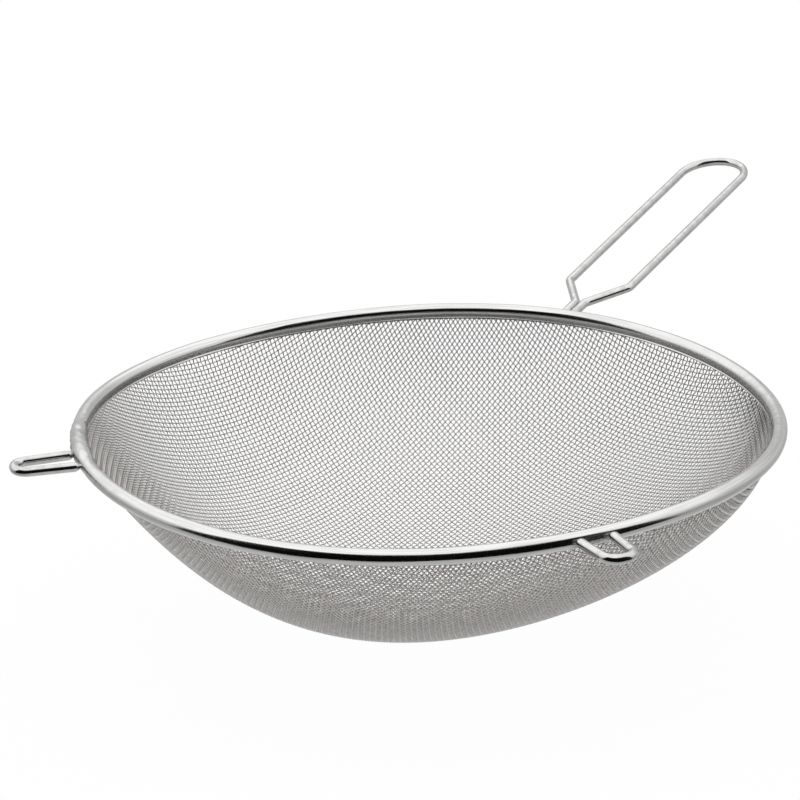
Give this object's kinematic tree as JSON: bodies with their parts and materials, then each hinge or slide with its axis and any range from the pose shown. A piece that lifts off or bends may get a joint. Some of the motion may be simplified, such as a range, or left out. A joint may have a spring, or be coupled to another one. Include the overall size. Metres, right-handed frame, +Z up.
{
  "type": "mesh strainer",
  "caption": "Round wire-mesh strainer bowl in a rolled steel rim, with a long bent-wire loop handle and small wire rest hooks on the far side.",
  "frame": {"origin": "middle of the flat foot under the bowl, on the surface it stands on", "axes": "+X runs out along the handle, +Z is up through the open mouth, the rim lies level to within 2.5 mm"},
  "size_m": [0.4436, 0.26, 0.0943],
  "materials": {
    "mesh_bowl": "bright woven wire cloth",
    "rim_strip": "polished with a satin cast",
    "rim_hoop": "drawn wire",
    "handle": "polished drawn wire",
    "rest_hook_left": "polished drawn wire",
    "rest_hook_front": "polished drawn wire"
  },
  "bodies": {
    "root": {"mesh_bowl": "mesh_bowl", "rim_strip": "rim_strip", "rim_hoop": "rim_hoop", "handle": "handle", "rest_hook_left": "rest_hook_left", "rest_hook_front": "rest_hook_front"}
  },
  "joints": []
}
